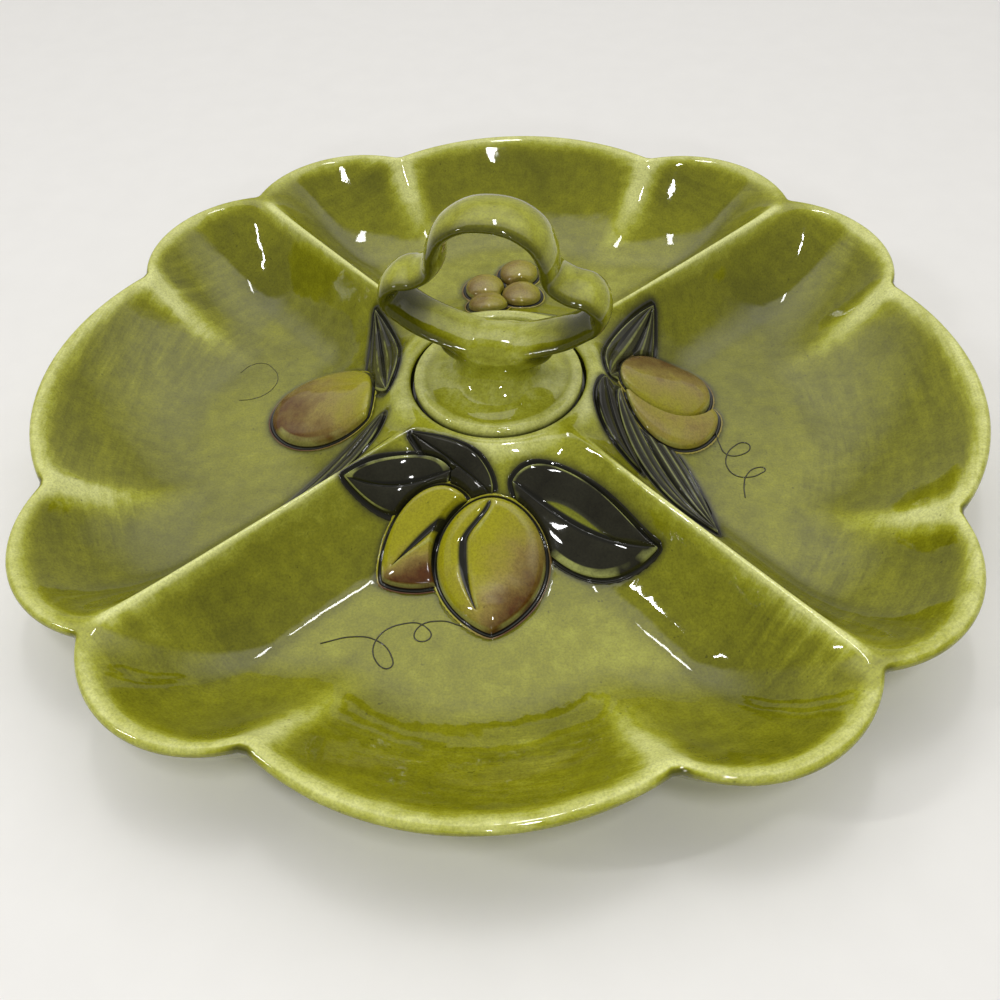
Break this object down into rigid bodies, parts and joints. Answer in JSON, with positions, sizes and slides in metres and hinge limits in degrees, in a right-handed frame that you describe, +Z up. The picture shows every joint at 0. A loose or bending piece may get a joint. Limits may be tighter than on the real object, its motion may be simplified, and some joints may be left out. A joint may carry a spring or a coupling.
{
  "type": "divided serving dish",
  "caption": "Scalloped glazed earthenware serving dish, divided by ribs into compartments round a lidded dip well, with fruit and leaf relief and a looped strap handle on the lid.",
  "frame": {"origin": "on the table, under the middle of the tray", "axes": "+Z up, -Y towards the front compartment that faces the viewer, +X to the viewer's right"},
  "size_m": [0.346, 0.346, 0.1059],
  "materials": {
    "green_glaze": "glossy olive green glaze",
    "fruit_glaze": "glossy yellow to red-brown glaze",
    "leaf_glaze": "glossy dark grey-green glaze"
  },
  "bodies": {
    "tray_body": {"tray": "green_glaze", "front_fruit_right": "fruit_glaze", "front_fruit_left": "fruit_glaze", "front_leaf_right": "leaf_glaze", "front_leaf_left": "leaf_glaze", "front_leaf_top": "leaf_glaze", "left_fruit": "fruit_glaze", "left_leaf_back": "leaf_glaze", "left_leaf_front": "leaf_glaze", "right_fruit_upper": "fruit_glaze", "right_fruit_lower": "fruit_glaze", "right_leaf_back": "leaf_glaze", "right_leaf_front": "leaf_glaze", "right_leaf_short": "leaf_glaze", "back_cherry_middle": "fruit_glaze", "back_cherry_left": "fruit_glaze", "back_cherry_outer": "fruit_glaze", "back_cherry_inner": "fruit_glaze", "back_leaf_left": "leaf_glaze", "back_leaf_right": "leaf_glaze"},
    "lid": {"lid_cap": "green_glaze", "lid_handle": "green_glaze"}
  },
  "joints": [
    {"name": "lid_lift", "type": "slide", "parent": "tray_body", "child": "lid", "axis": [0, 0, 1], "range_m": [0, 0.06]}
  ]
}
